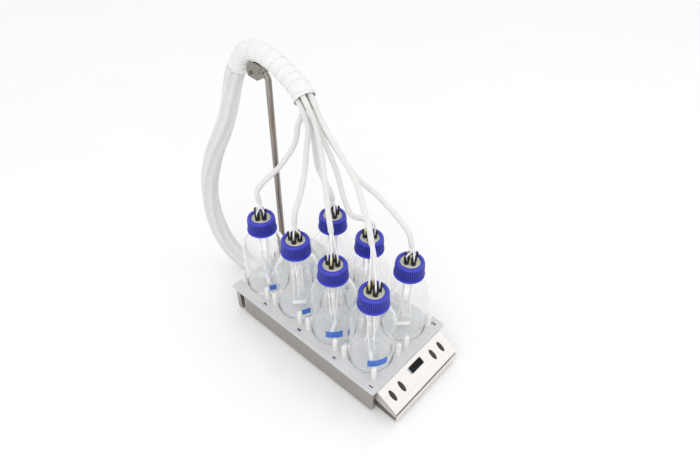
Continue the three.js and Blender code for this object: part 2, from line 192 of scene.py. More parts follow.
def tube_parts(route, radius, sides):
    """Rings along a route, closed at both ends. radius may be a function of (index, angle)."""
    radius_at = radius if callable(radius) else lambda index, angle: radius
    vertices = []
    faces = []
    for i, (point, (side, up)) in enumerate(zip(route, frames_along(route))):
        for k in range(sides):
            angle = 2 * math.pi * k / sides
            r = radius_at(i, angle)
            vertices.append(point + side * (r * math.cos(angle)) + up * (r * math.sin(angle)))
    for i in range(len(route) - 1):
        for k in range(sides):
            a = i * sides + k
            b = i * sides + (k + 1) % sides
            faces.append((a, b, b + sides, a + sides))
    faces.append(tuple(reversed(range(sides))))
    last = (len(route) - 1) * sides
    faces.append(tuple(range(last, last + sides)))
    return vertices, faces


def lathe_parts(profile, segments, centre=(0, 0, 0), ripple=None):
    """Turns (r, z) or (r, z, weight) points about +Z. The profile ends on the axis or closes."""
    closed = profile[0][:2] == profile[-1][:2]
    points = profile[:-1] if closed else profile
    vertices = []
    rings = []
    for entry in points:
        r, z = entry[:2]
        weight = entry[2] if len(entry) > 2 else 0
        if r == 0:
            rings.append([len(vertices)] * segments)
            vertices.append(Vector(centre) + Vector((0, 0, z)))
            continue
        rings.append([len(vertices) + k for k in range(segments)])
        for k in range(segments):
            angle = 2 * math.pi * k / segments
            radius = r + (weight * ripple(angle) if weight else 0)
            vertices.append(Vector(centre) + Vector((radius * math.cos(angle), radius * math.sin(angle), z)))
    faces = []
    pairs = list(zip(rings, rings[1:])) + ([(rings[-1], rings[0])] if closed else [])
    for low, high in pairs:
        for k in range(segments):
            n = (k + 1) % segments
            corners = [low[k], low[n], high[n], high[k]]
            faces.append(tuple(dict.fromkeys(corners)))
    return vertices, faces


def block_parts(low, high):
    vertices = [Vector((x, y, z)) for x in (low[0], high[0]) for y in (low[1], high[1])
                for z in (low[2], high[2])]
    faces = [(0, 1, 3, 2), (4, 6, 7, 5), (0, 4, 5, 1), (2, 3, 7, 6), (0, 2, 6, 4), (1, 5, 7, 3)]
    return vertices, faces


def moved(parts, matrix):
    vertices, faces = parts
    return [matrix @ v for v in vertices], faces


def merged(*several):
    vertices = []
    faces = []
    for more_vertices, more_faces in several:
        start = len(vertices)
        vertices += more_vertices
        faces += [tuple(i + start for i in face) for face in more_faces]
    return vertices, faces


def piece(name, parts, material, body, sharp=35, bevel=0):
    """A mesh object from parts in grid millimetres, riding on a CAD body."""
    vertices, faces = parts
    mesh = bpy.data.meshes.new(name)
    mesh.from_pydata([at(*v) for v in vertices], [], faces)
    mesh.materials.append(material)
    obj = bpy.data.objects.new(name, mesh)
    return place(obj, body, sharp, bevel)


def place(obj, body, sharp=35, bevel=0):
    mesh = obj.data
    bpy.context.scene.collection.objects.link(obj)
    mesh.validate()
    if bevel:
        modifier = obj.modifiers.new("edges", "BEVEL")
        modifier.width = bevel * MM
        modifier.segments = 3
        modifier.limit_method = "ANGLE"
        modifier.angle_limit = math.radians(28)
        modifier.harden_normals = True
    fix_normals(mesh)
    mesh.shade_smooth()
    mesh.set_sharp_from_angle(angle=math.radians(sharp))
    if body:
        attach(obj, body)
    return obj


def fix_normals(mesh):
    work = bmesh.new()
    work.from_mesh(mesh)
    bmesh.ops.recalc_face_normals(work, faces=work.faces)
    work.to_mesh(mesh)
    work.free()


def from_cad(node, name, material, body, bevel):
    """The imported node's own shape with its edges rounded."""
    work = bmesh.new()
    work.from_mesh(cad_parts[node].data)
    bmesh.ops.remove_doubles(work, verts=work.verts, dist=0.01 * MM)
    bmesh.ops.dissolve_limit(work, angle_limit=math.radians(1), verts=work.verts, edges=work.edges)
    mesh = bpy.data.meshes.new(name)
    work.to_mesh(mesh)
    work.free()
    mesh.materials.clear()
    mesh.materials.append(material)
    for polygon in mesh.polygons:
        polygon.material_index = 0
    obj = bpy.data.objects.new(name, mesh)
    place(obj, body, 35, bevel)
    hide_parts(node)
    return obj


# Materials
def shader(name, color, roughness, metallic=0.0, **sockets):
    material = bpy.data.materials.new(name)
    material.use_nodes = True
    bsdf = material.node_tree.nodes["Principled BSDF"]
    bsdf.inputs["Base Color"].default_value = (*color, 1)
    bsdf.inputs["Roughness"].default_value = roughness
    bsdf.inputs["Metallic"].default_value = metallic
    for socket, value in sockets.items():
        bsdf.inputs[socket.replace("_", " ")].default_value = value
    return material


def pattern(material, scale, stretch=(1, 1, 1), detail=4):
    """Noise in object coordinates, drawn out along the axes by stretch."""
    nodes = material.node_tree.nodes
    links = material.node_tree.links
    coordinates = nodes.new("ShaderNodeTexCoord")
    mapping = nodes.new("ShaderNodeMapping")
    mapping.inputs["Scale"].default_value = stretch
    noise = nodes.new("ShaderNodeTexNoise")
    noise.inputs["Scale"].default_value = scale
    noise.inputs["Detail"].default_value = detail
    links.new(coordinates.outputs["Object"], mapping.inputs["Vector"])
    links.new(mapping.outputs["Vector"], noise.inputs["Vector"])
    return noise.outputs["Fac"]


def tint(material, factor, dark, light, low=0.35, high=0.65):
    nodes = material.node_tree.nodes
    ramp = nodes.new("ShaderNodeValToRGB")
    ramp.color_ramp.elements[0].position = low
    ramp.color_ramp.elements[0].color = (*dark, 1)
    ramp.color_ramp.elements[1].position = high
    ramp.color_ramp.elements[1].color = (*light, 1)
    material.node_tree.links.new(factor, ramp.inputs["Fac"])
    material.node_tree.links.new(ramp.outputs["Color"], nodes["Principled BSDF"].inputs["Base Color"])


def vary_roughness(material, factor, low, high):
    nodes = material.node_tree.nodes
    span = nodes.new("ShaderNodeMapRange")
    span.inputs["To Min"].default_value = low
    span.inputs["To Max"].default_value = high
    material.node_tree.links.new(factor, span.inputs["Value"])
    material.node_tree.links.new(span.outputs["Result"], nodes["Principled BSDF"].inputs["Roughness"])


def roughen(material, factor, strength, depth):
    nodes = material.node_tree.nodes
    bump = nodes.new("ShaderNodeBump")
    bump.inputs["Strength"].default_value = strength
    bump.inputs["Distance"].default_value = depth * MM
    material.node_tree.links.new(factor, bump.inputs["Height"])
    material.node_tree.links.new(bump.outputs["Normal"], nodes["Principled BSDF"].inputs["Normal"])


def brushed(name, dark, light, roughness, stretch, metallic=1.0):
    material = shader(name, light, roughness, metallic)
    grain = pattern(material, 60, stretch, 6)
    tint(material, grain, dark, light)
    vary_roughness(material, grain, roughness - 0.08, roughness + 0.1)
    roughen(material, grain, 0.25, 0.05)
    return material


def moulded(name, color, roughness, grain_scale, depth=0.05, spread=0.12, **sockets):
    material = shader(name, color, roughness, 0.0, **sockets)
    grain = pattern(material, grain_scale)
    dark = tuple(c * (1 - spread) for c in color)
    light = tuple(min(1, c * (1 + spread)) for c in color)
    tint(material, grain, dark, light)
    vary_roughness(material, grain, roughness - 0.06, roughness + 0.08)
    roughen(material, grain, 0.3, depth)
    return material


def clear_glass():
    """Real glass for the eye, and open to the light that falls through it on to the plate."""
    material = shader("clear glass", (0.985, 0.99, 0.99), 0.01, 0.0, Transmission_Weight=1.0, IOR=1.46)
    roughen(material, pattern(material, 22, (1, 1, 0.25), 1), 0.05, 0.5)
    nodes = material.node_tree.nodes
    links = material.node_tree.links
    path = nodes.new("ShaderNodeLightPath")
    indirect = nodes.new("ShaderNodeMath")
    indirect.operation = "MAXIMUM"
    open_air = nodes.new("ShaderNodeBsdfTransparent")
    mix = nodes.new("ShaderNodeMixShader")
    links.new(path.outputs["Is Shadow Ray"], indirect.inputs[0])
    links.new(path.outputs["Is Diffuse Ray"], indirect.inputs[1])
    links.new(indirect.outputs[0], mix.inputs["Fac"])
    links.new(nodes["Principled BSDF"].outputs["BSDF"], mix.inputs[1])
    links.new(open_air.outputs["BSDF"], mix.inputs[2])
    links.new(mix.outputs["Shader"], nodes["Material Output"].inputs["Surface"])
    return material


# Painted light and shade: the unit's one stainless steel comes in three tones by facing. It is darkest on the
# upright sides of the housing and rear frame, mid on the console's sides, and lightest on the console face
# and shelf.
SIDE_SHADE_STEEL = brushed("brushed steel, painted side shade", (0.33, 0.31, 0.285), (0.46, 0.43, 0.40), 0.36, (0.3, 0.3, 14))
LIT_CONSOLE_STEEL = brushed("console steel, painted light", (0.76, 0.725, 0.70), (0.86, 0.82, 0.79), 0.3, (0.2, 9, 9), 0.75)
SHADED_WEDGE_STEEL = brushed("wedge steel, painted shade", (0.50, 0.46, 0.43), (0.66, 0.61, 0.58), 0.34, (9, 0.3, 9), 0.8)
ROD_STEEL = brushed("rod steel", (0.20, 0.175, 0.155), (0.46, 0.42, 0.385), 0.34, (6, 6, 0.12))
PLATE_GREY = brushed("plate grey", (0.615, 0.625, 0.63), (0.685, 0.695, 0.70), 0.5, (7, 0.25, 7), 0.1)
DARK_STEEL = moulded("dark steel", (0.21, 0.19, 0.17), 0.45, 500)
DARK_STEEL.node_tree.nodes["Principled BSDF"].inputs["Metallic"].default_value = 0.7
BLACK_PLASTIC = moulded("black plastic", (0.012, 0.012, 0.013), 0.42, 900)
KEY_BLACK = moulded("key black", (0.03, 0.03, 0.032), 0.5, 1200)
RUBBER = moulded("black rubber", (0.018, 0.018, 0.018), 0.85, 700, 0.1)
BOARD = moulded("board green", (0.03, 0.16, 0.07), 0.5, 300)
COPPER = moulded("copper wire", (0.55, 0.22, 0.09), 0.35, 900)
GLASS = clear_glass()
CAP_BLUE = moulded("cap blue", (0.040, 0.050, 0.50), 0.42, 260, 0.04, 0.08)
# Painted shade: a darker blue for the faces deep in the cap's grip grooves.
CAP_GROOVE_SHADE = moulded("cap groove painted shade", (0.011, 0.014, 0.19), 0.5, 260, 0.04, 0.08)
BEIGE = moulded("insert beige", (0.66, 0.64, 0.53), 0.5, 400, 0.03, 0.06)
WHITE_PLASTIC = moulded("white plastic", (0.84, 0.83, 0.82), 0.4, 500, 0.03, 0.03)
PTFE = moulded("white fluoropolymer", (0.86, 0.86, 0.85), 0.42, 500, 0.03, 0.03)
SLEEVE_WHITE = moulded(
    "sleeve white", (0.77, 0.76, 0.745), 0.36, 180, 0.08, 0.03, Subsurface_Weight=0.2, Subsurface_Scale=0.004,
    Subsurface_Radius=(1, 1, 1),
)
WRAP_WHITE = moulded("wrap white", (0.845, 0.84, 0.835), 0.45, 160, 0.05, 0.02)
AMBER = moulded("amber tube", (0.82, 0.68, 0.34), 0.3, 300)
PRINT_BLUE = moulded("print blue", (0.045, 0.155, 0.58), 0.4, 600, 0.02, 0.1)
PRINT_PALE = moulded("print pale blue", (0.25, 0.42, 0.72), 0.4, 600, 0.02, 0.1)
DISPLAY_BLACK = moulded("display black", (0.006, 0.006, 0.007), 0.4, 40, 0.005, Specular_IOR_Level=0.15)
BEZEL_GREY = moulded("bezel grey", (0.45, 0.45, 0.45), 0.4, 500)
CRADLE_STEEL = brushed("cradle steel", (0.24, 0.215, 0.19), (0.36, 0.33, 0.30), 0.4, (5, 5, 5), 0.8)
# Black for the printed digits, and painted shade for the cradle's holes.
INK_AND_HOLE_SHADE = moulded("black ink and hole shade", (0.012, 0.012, 0.014), 0.55, 900, 0.01)


# Camera
CAMERA_PLACE = (-0.5475, -0.5599, 0.9143)
CAMERA_AZIMUTH = math.radians(-50.608)
CAMERA_ELEVATION = math.radians(40.489)
CAMERA_ROLL = math.radians(2.438)
CAMERA_LENS = 28.69
CAMERA_SHIFT = (-0.0256, -0.0075)


def add_camera():
    back = Vector((
        math.sin(CAMERA_AZIMUTH) * math.cos(CAMERA_ELEVATION),
        -math.cos(CAMERA_AZIMUTH) * math.cos(CAMERA_ELEVATION),
        math.sin(CAMERA_ELEVATION),
    ))
    right = (-back).cross(Vector((0, 0, 1))).normalized()
    up = right.cross(-back)
    turned_right = math.cos(CAMERA_ROLL) * right + math.sin(CAMERA_ROLL) * up
    turned_up = -math.sin(CAMERA_ROLL) * right + math.cos(CAMERA_ROLL) * up
    data = bpy.data.cameras.new("camera")
    data.sensor_width = 36
    data.lens = CAMERA_LENS
    data.shift_x, data.shift_y = CAMERA_SHIFT
    camera = bpy.data.objects.new("camera", data)
    bpy.context.scene.collection.objects.link(camera)
    camera.matrix_world = Matrix((
        (turned_right.x, turned_up.x, back.x, CAMERA_PLACE[0]),
        (turned_right.y, turned_up.y, back.y, CAMERA_PLACE[1]),
        (turned_right.z, turned_up.z, back.z, CAMERA_PLACE[2]),
        (0, 0, 0, 1),
    ))
    bpy.context.scene.camera = camera


# The free bundle: seven loose sleeves from the wrap to the connector behind the unit
STRANDS = 7
STRAND_RADIUS = 6.8
STRAND_RING = 12.2
STRAND_CORE = 16.4
STRAND_TWIST = math.radians(110)


def add_rear_bundle():
    route = even_steps(smooth_route(TRUNK_ROUTE), 6)
    pairs = frames_along(route)
    strands = []
    for strand in range(STRANDS):
        ring = STRAND_RING if strand else 0
        path = []
        for i, (point, (side, up)) in enumerate(zip(route, pairs)):
            along = i / (len(route) - 1)
            angle = strand * math.pi / 3 + STRAND_TWIST * along
            path.append(point + (side * math.cos(angle) + up * math.sin(angle)) * ring)
        strands.append(tube_parts(path, STRAND_RADIUS, 18))
    strands.append(tube_parts(route[1:-1], STRAND_CORE, 30))
    bundle = piece("rear_bundle", merged(*strands), SLEEVE_WHITE, "stirrer", 50)
    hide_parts("rear_trunk")
    connector = add_connector()
    path = [at(*p) for p in route]


def add_connector():
    connector = from_cad(
        "bundle_connector", "connector_block", WHITE_PLASTIC, "stirrer", 1.5,
    )
    ribs = [block_parts((x, 189.9, 4), (x + 2.5, 190.5, 38)) for x in (-30, -22, -14, -6)]
    piece("connector_ribs", merged(*ribs), WHITE_PLASTIC, "stirrer", 35, 0.2)
    return connector


add_camera()
add_rear_bundle()


# Base and plate
def outline_curve(name, outlines, thickness, bevel):
    """A flat sheet from closed outlines, the first outside and the rest holes, its top at z = 0."""
    curve = bpy.data.curves.new(name, "CURVE")
    curve.dimensions = "2D"
    curve.fill_mode = "BOTH"
    curve.extrude = (thickness / 2 - bevel) * MM
    curve.bevel_depth = bevel * MM
    curve.bevel_resolution = 2
    curve.offset = -bevel * MM
    for outline in outlines:
        spline = curve.splines.new("POLY")
        spline.points.add(len(outline) - 1)
        for point, (x, y) in zip(spline.points, outline):
            point.co = (x * MM, y * MM, 0, 1)
        spline.use_cyclic_u = True
    source = bpy.data.objects.new(name, curve)
    bpy.context.scene.collection.objects.link(source)
    mesh = bpy.data.meshes.new_from_object(source.evaluated_get(bpy.context.evaluated_depsgraph_get()))
    bpy.data.objects.remove(source)
    bpy.data.curves.remove(curve)
    mesh.name = name
    for vertex in mesh.vertices:
        vertex.co.z -= thickness / 2 * MM
    return mesh


def rounded_outline(x0, x1, y0, y1, radius, steps=8):
    points = []
    for cx, cy, start in ((x1 - radius, y0 + radius, -90), (x1 - radius, y1 - radius, 0),
                          (x0 + radius, y1 - radius, 90), (x0 + radius, y0 + radius, 180)):
        for i in range(steps + 1):
            angle = math.radians(start + 90 * i / steps)
            points.append((cx + radius * math.cos(angle), cy + radius * math.sin(angle)))
    return points


def ellipse_outline(x, y, width, length, steps=48):
    points = []
    for i in range(steps):
        angle = 2 * math.pi * i / steps
        points.append((x + width / 2 * math.cos(angle), y + length / 2 * math.sin(angle)))
    return points


def sheet_piece(name, mesh, matrix, material, body, sharp=35):
    mesh.transform(matrix)
    mesh.materials.clear()
    mesh.materials.append(material)
    return place(bpy.data.objects.new(name, mesh), body, sharp)


def peg_places():
    places = []
    for position in range(1, 2 * ROWS + 1):
        x, y = place_of(position)
        column = -1 if x < 0 else 1
        for side in (-1, 1):
            places.append((x + column * PEG["outer"], y + side * PEG["row"]))
            places.append((x - column * PEG["inner"], y + side * PEG["row"]))
    return places


def add_plate():
    half = PLATE["half_width"]
    outline = rounded_outline(-half, half, PLATE["front"], PLATE["back"], PLATE["corner"])
    mesh = outline_curve("plate", [outline], PLATE["thickness"], 0.6)
    matrix = Matrix.Translation(at(0, 0, PLATE["top"]))
    plate = sheet_piece("plate", mesh, matrix, PLATE_GREY, "stirrer")
    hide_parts("rack_plate")

    radius = PEG["radius"]
    height = PEG["height"]
    profile = [
        (0, 0.02), (radius - 0.5, 0.02), (radius - 0.1, 0.6), (radius, 1.6), (radius, height - 4.5),
        (radius - 0.25, height - 3), (radius - 1, height - 1.4),
        (radius - 2.4, height - 0.4), (0, height),
    ]
    pegs = [lathe_parts(profile, 24, (x, y, PLATE["top"])) for x, y in peg_places()]
    piece("pegs", merged(*pegs), WHITE_PLASTIC, "stirrer", 40)


DIGITS = (
    ("1", -98, -185), ("2", 93, -183), ("3", -97, -96), ("4", 97, -96),
    ("5", -95, 0), ("6", 95, 0), ("7", -95, 97), ("8", 95, 97),
)

DIGIT = {"size": 11, "extrude": 0.05, "offset": 0.65}


def add_digits():
    for text, x, y in DIGITS:
        curve = bpy.data.curves.new("digit_" + text, "FONT")
        curve.body = text
        curve.size = DIGIT["size"] * MM
        curve.extrude = DIGIT["extrude"] * MM
        curve.offset = DIGIT["offset"] * MM
        curve.align_x = "CENTER"
        curve.align_y = "CENTER"
        source = bpy.data.objects.new("digit", curve)
        bpy.context.scene.collection.objects.link(source)
        mesh = bpy.data.meshes.new_from_object(source.evaluated_get(bpy.context.evaluated_depsgraph_get()))
        bpy.data.objects.remove(source)
        matrix = Matrix.Translation(at(x, y, PLATE["top"] + 0.08))
        sheet_piece("digit_" + text, mesh, matrix, INK_AND_HOLE_SHADE, "stirrer")


def add_base():
    housing = from_cad("base_housing", "housing", SIDE_SHADE_STEEL, "stirrer", 0.8)
    # Painted light: the housing's shelf in front of the console takes the lighter console steel, as light on
    # a band that lies in shade.
    housing.data.materials.append(LIT_CONSOLE_STEEL)
    lit_shelf_edge = at(0, -194.5, 0).y
    for polygon in housing.data.polygons:
        if polygon.center.y < lit_shelf_edge:
            polygon.material_index = 1
    from_cad("rear_frame", "back_frame", SIDE_SHADE_STEEL, "stirrer", 0.8)
    for number in range(1, 5):
        low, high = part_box(f"foot_{number}")
        x = (low.x + high.x) / 2 / MM
        y = (low.y + high.y) / 2 / MM - SHIFT
        profile = [(0, 0), (7.6, 0), (8.4, 0.5), (9, 1.6), (9, 3.7), (0, 3.7)]
        foot = piece(f"foot_pad_{number}", lathe_parts(profile, 32, (x, y, 0)), RUBBER, "stirrer")
        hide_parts(f"foot_{number}")
    # Short rubber stops under the side edges
    stops = []
    for x in (-98, 98):
        for y in (-100, 0):
            stops.append(lathe_parts([(0, 0.1), (3.4, 0.1), (4, 0.8), (4, 4), (0, 4)], 20, (x, y, 0)))
    piece("side_stops", merged(*stops), RUBBER, "stirrer")


def add_drive():
    for node in ("coil_board", "control_board", "key_board"):
        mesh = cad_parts[node].data
        mesh.materials.clear()
        mesh.materials.append(BOARD)
    # The wound coils stand on the board under each place
    coils = []
    for position in range(1, 2 * ROWS + 1):
        x, y = place_of(position)
        rings = [(14.05, 36.2)]
        for turn in range(12):
            z = 36.6 + turn * 1.05
            rings += [(14.05, z), (14.45, z + 0.5), (14.05, z + 1)]
        rings += [(14.05, 49.6), (13.9, 49.6), (13.9, 36.2), (14.05, 36.2)]
        coils.append(lathe_parts(rings, 28, (x, y, 0)))
    piece("coil_windings", merged(*coils), COPPER, "stirrer", 40)


# Console: its own X runs across, Y up the slope and Z out of the face
def console_matrix():
    return Matrix.Translation(at(0, CONSOLE["top_y"], CONSOLE["top_z"])) @ Matrix.Rotation(FACE_ANGLE, 4, "X")


def add_console():
    from_cad("console_shell", "console_wedge", SHADED_WEDGE_STEEL, "stirrer", 0.5)

    half = CONSOLE["half_width"]
    window = rounded_outline(
        DISPLAY["left"] - 0.3, DISPLAY["right"] + 0.3, DISPLAY["bottom"] - 0.3, DISPLAY["top"] + 0.3, 2.2, 6,
    )
    holes = [
        ellipse_outline(x, -KEY["down"], KEY["width"] + 2 * KEY["fit"], KEY["length"] + 2 * KEY["fit"])
        for x in KEY_X
    ]
    outline = rounded_outline(-half, half, -FACE_LENGTH, 0, 1.5)
    mesh = outline_curve("faceplate", [outline, *holes, window], 1.2, 0.15)
    faceplate = sheet_piece("faceplate", mesh, console_matrix(), LIT_CONSOLE_STEEL, "stirrer")
    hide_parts("console_faceplate")

    glass = outline_curve(
        "display_glass",
        [rounded_outline(DISPLAY["left"], DISPLAY["right"], DISPLAY["bottom"], DISPLAY["top"], 2, 6)], 4, 0.2,
    )
    lowered = console_matrix() @ Matrix.Translation((0, 0, -0.2 * MM))
    display = sheet_piece("display_glass", glass, lowered, DISPLAY_BLACK, "stirrer")
    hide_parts("display_window")

    strip = rounded_outline(
        DISPLAY["left"] - 3.4, DISPLAY["left"] - 0.2, DISPLAY["bottom"], DISPLAY["top"], 0.4, 3,
    )
    slab = outline_curve("display_side", [strip], 0.5, 0.12)
    raised = console_matrix() @ Matrix.Translation((0, 0, 0.45 * MM))
    sheet_piece("display_side", slab, raised, BEZEL_GREY, "stirrer")

    for number, x in enumerate(KEY_X, 1):
        body = outline_curve(
            f"key_cap_{number}", [ellipse_outline(x, -KEY["down"], KEY["width"], KEY["length"])], 4.1, 0.4,
        )
        lifted = console_matrix() @ Matrix.Translation((0, 0, 0.95 * MM))
        key = sheet_piece(f"key_cap_{number}", body, lifted, BLACK_PLASTIC, f"key_{number}")
        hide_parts(f"key_{number}")
        inner = outline_curve(
            f"key_face_{number}",
            [ellipse_outline(x, -KEY["down"], KEY["width"] - 2.6, KEY["length"] - 4.5)], 0.5, 0.2,
        )
        face_up = console_matrix() @ Matrix.Translation((0, 0, 1.12 * MM))
        sheet_piece(f"key_face_{number}", inner, face_up, KEY_BLACK, f"key_{number}")


# Rod, bracket and cradle
def add_support():
    radius = ROD["radius"]
    upright = [Vector((ROD["x"], ROD["y"], z)) for z in (ROD["foot"], 120, 240, 360, ROD["bend"] + 4.5)]
    start = upright[-1]
    middle = Vector((ROD["x"], ROD["y"], ROD["tip"] - ROD["lean"]))
    end = Vector((ROD["x"], ROD["y"] + ROD["lean"], ROD["tip"]))
    bend = []
    for step in range(1, 9):
        u = step / 8
        bend.append(start * (1 - u) ** 2 + middle * 2 * u * (1 - u) + end * u * u)
    rod = piece("rod", tube_parts(upright + bend, radius, 36), ROD_STEEL, "stirrer", 40)
    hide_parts("support_rod")

    from_cad("rod_bracket", "bracket", DARK_STEEL, "stirrer", 1.2)
    from_cad("cradle_block", "cradle", CRADLE_STEEL, "stirrer", 0.7)

    low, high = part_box("bracket_screw")
    y = (low.y + high.y) / 2 / MM - SHIFT
    z = (low.z + high.z) / 2 / MM
    knob = [
        (0, -6), (4, -6), (4, 0.2), (6, 0.4), (6.5, 1.2, 1), (6.5, 10.4, 1), (6, 11.6), (3.6, 12),
        (3.2, 11.4), (0, 11.4),
    ]
    turned = lathe_parts(knob, 96, ripple=lambda angle: 0.45 * math.cos(16 * angle))
    matrix = Matrix.Translation((high.x / MM - 6, y, z)) @ Matrix.Rotation(-math.pi / 2, 4, "Y")
    screw = piece("bracket_knob", moved(turned, matrix), BLACK_PLASTIC, "stirrer", 40)
    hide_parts("bracket_screw")

    low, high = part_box("cradle_screw")
    centre = ((low.y + high.y) / 2 / MM - SHIFT, (low.z + high.z) / 2 / MM)
    head = lathe_parts(
        [(0, 0), (2.9, 0), (3.2, 0.3), (3.2, 2.6), (2.8, 3), (1.6, 3), (1.6, 1.2), (0, 1.2)], 30,
    )
    matrix = Matrix.Translation((high.x / MM, *centre)) @ Matrix.Rotation(-math.pi / 2, 4, "Y")
    screw = piece("cradle_bolt", moved(head, matrix), ROD_STEEL, "stirrer", 40)
    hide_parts("cradle_screw")
    # Painted shade: the cradle's two holes are flat black discs on its face, standing in for the shade inside
    # the holes.
    holes = []
    for y, z, r in ((209.5, 482, 1.3), (212, 475.5, 1.3)):
        ring = lathe_parts([(0, 0), (r, 0), (r + 0.4, 0.12), (r + 0.4, 0.18), (0, 0.18)], 20)
        matrix = Matrix.Translation((high.x / MM + 0.35, y, z)) @ Matrix.Rotation(-math.pi / 2, 4, "Y")
        holes.append(moved(ring, matrix))
    piece("cradle_hole_shades", merged(*holes), INK_AND_HOLE_SHADE, "stirrer", 40)


# Bottles
def glass_profile():
    outside = [
        (0, 1.6), (20, 1.3), (31, 0.5), (35, 0), (37, 0.1), (39.6, 1.0), (41.7, 3.0), (42.8, 5.6),
        (43, 8), (43, 30), (43, 60), (43, 96), (42.7, 101), (41.9, 106), (40.4, 111), (37.7, 116.7),
        (34, 122), (29.6, 127.2), (25.9, 131.4), (23.5, 135), (22.1, 139), (21.5, 143),
    ]
    thread = [(21.2, 146), (20.8, 149), (21.4, 150.5), (20.8, 152), (21.4, 153.5), (20.8, 155),
              (21.4, 156.5), (20.8, 158), (20.8, 165), (21.2, 166.4), (21.4, 167.4), (20.9, 168.5)]
    inside = [
        (17.9, 168.5), (17.4, 167.8), (17.4, 143), (18.2, 138.4), (20.2, 134), (23.4, 129.4),
        (27.4, 124.8), (31.6, 120), (35.2, 114.8), (37.9, 109.6), (39.4, 105), (40.3, 100.5),
        (40.6, 96), (40.6, 60), (40.6, 30), (40.6, 12), (40.1, 8.4), (38.6, 5.8), (36, 4.3),
    ]
    floor = []
    for step in range(1, 23):
        r = 34 - 1.5 * step
        floor.append((max(r, 0.8), 4.1 + 0.045 * step + 0.95 * math.cos(2.1 * step)))
    return outside + thread + inside + floor + [(0, 4.9)]


PRINTS = {1: (-148, -98, 27, 44), 3: (-156, -113, 27, 44), 5: (-126, -104, 17, 31), 7: (-126, -104, 17, 31)}


def band_parts(x, y, start, end, low, high, radius=43.12):
    """A thin patch of print on a bottle's side."""
    steps = max(2, round((end - start) / 3))
    vertices = []
    for r in (radius, radius + 0.06):
        for z in (low, high):
            for i in range(steps + 1):
                angle = math.radians(start + (end - start) * i / steps)
                vertices.append(Vector((x + r * math.cos(angle), y + r * math.sin(angle), z)))
    row = steps + 1
    faces = []
    for i in range(steps):
        corners = (i, i + 1, row + i + 1, row + i)
        faces.append(corners)
        faces.append(tuple(reversed([c + 2 * row for c in corners])))
        faces.append((i, 2 * row + i, 2 * row + i + 1, i + 1))
        faces.append((row + i, row + i + 1, 3 * row + i + 1, 3 * row + i))
    faces.append((0, row, 3 * row, 2 * row))
    faces.append((steps, 2 * row + steps, 3 * row + steps, row + steps))
    return vertices, faces


def add_prints(position, x, y):
    """Solid marking field, and the plain level lines above it."""
    start, end, low, high = PRINTS.get(position, (100, 135, 20, 36))
    field = band_parts(x, y, start, end, STAND + low, STAND + high)
    piece(f"print_field_{position}", field, PRINT_BLUE, f"bottle_{position}", 30)
    middle = (start + end) / 2
    lines = []
    for level in range(6):
        z = STAND + high + 6 + 8 * level
        reach = 9 if level % 2 else 5
        lines.append(band_parts(x, y, middle - reach, middle + 2, z, z + 0.7))
    piece(f"print_levels_{position}", merged(*lines), PRINT_PALE, f"bottle_{position}", 30)


RIBS = 50
RIB_SHAPE = (0.3, 0.3, 0.3, 0, -1.3, -1.7, -1.3, 0)


def cap_profile():
    return [
        (22.8, 145), (28.0, 145), (28.4, 145.4), (28.4, 148.6), (28.1, 149), (26.3, 149.3), (26.2, 150.2),
        (26.5, 150.6, 1), (26.6, 153, 1), (26.6, 160, 1), (26.5, 168, 1), (26.3, 170.6, 0.8),
        (26.2, 171.6, 0.1), (25.9, 173.2), (25.2, 174.6), (24, 175.5), (22.6, 175.8), (20.6, 175.8),
        (19.4, 175.5), (18.9, 174.9), (18.9, 171.3), (22.8, 171.3), (22.8, 145),
    ]


def rib_shape(angle):
    return RIB_SHAPE[round(angle / (2 * math.pi) * RIBS * len(RIB_SHAPE)) % len(RIB_SHAPE)]


def add_cap(position, x, y):
    parts = lathe_parts(cap_profile(), RIBS * len(RIB_SHAPE), (x, y, STAND), rib_shape)
    cap = piece(f"screw_cap_{position}", parts, CAP_BLUE, f"cap_{position}", 40)
    # Painted shade: faces down in the grip grooves take the darker blue, as shade in the grooves.
    cap.data.materials.append(CAP_GROOVE_SHADE)
    axis = at(x, y, STAND)
    for polygon in cap.data.polygons:
        away = polygon.center - axis
        if 150.4 * MM < away.z < 172 * MM and 25 * MM < math.hypot(away.x, away.y) < 26.2 * MM:
            polygon.material_index = 1
    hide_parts(f"cap_{position}")


def claw_parts(centre, facing, low, high):
    """One upright claw of a push-in fitting, an arc of wall that narrows to a rounded tip."""
    rings = 6
    steps = 6
    vertices = []
    for i in range(rings + 1):
        u = i / rings
        z = low + (high - low) * u
        reach = math.radians(58 - 22 * u ** 2)
        outer = 4.6 + 1.2 * u ** 2
        inner = outer - 2.2 + 0.6 * u ** 3
        for r in (inner, outer):
            for k in range(steps + 1):
                angle = facing - reach + 2 * reach * k / steps
                vertices.append(Vector((centre[0] + r * math.cos(angle), centre[1] + r * math.sin(angle), z)))
    row = steps + 1
    faces = []
    for i in range(rings):
        for k in range(steps):
            inner = 2 * row * i + k
            outer = inner + row
            up = 2 * row
            faces.append((inner, inner + up, inner + up + 1, inner + 1))
            faces.append((outer, outer + 1, outer + up + 1, outer + up))
        for k in (0, steps):
            inner = 2 * row * i + k
            faces.append((inner, inner + row, inner + 3 * row, inner + 2 * row))
    for i in (0, rings):
        for k in range(steps):
            inner = 2 * row * i + k
            faces.append((inner, inner + 1, inner + row + 1, inner + row))
    return vertices, faces


def fitting_places(position, x, y):
    yaw = math.radians(FITTING_YAW[position - 1])
    places = []
    for i in range(FITTING["count"]):
        angle = yaw + i * math.pi / 2
        reach = FITTING["spread"]
        places.append((x + reach * math.cos(angle), y + reach * math.sin(angle), angle))
    return places


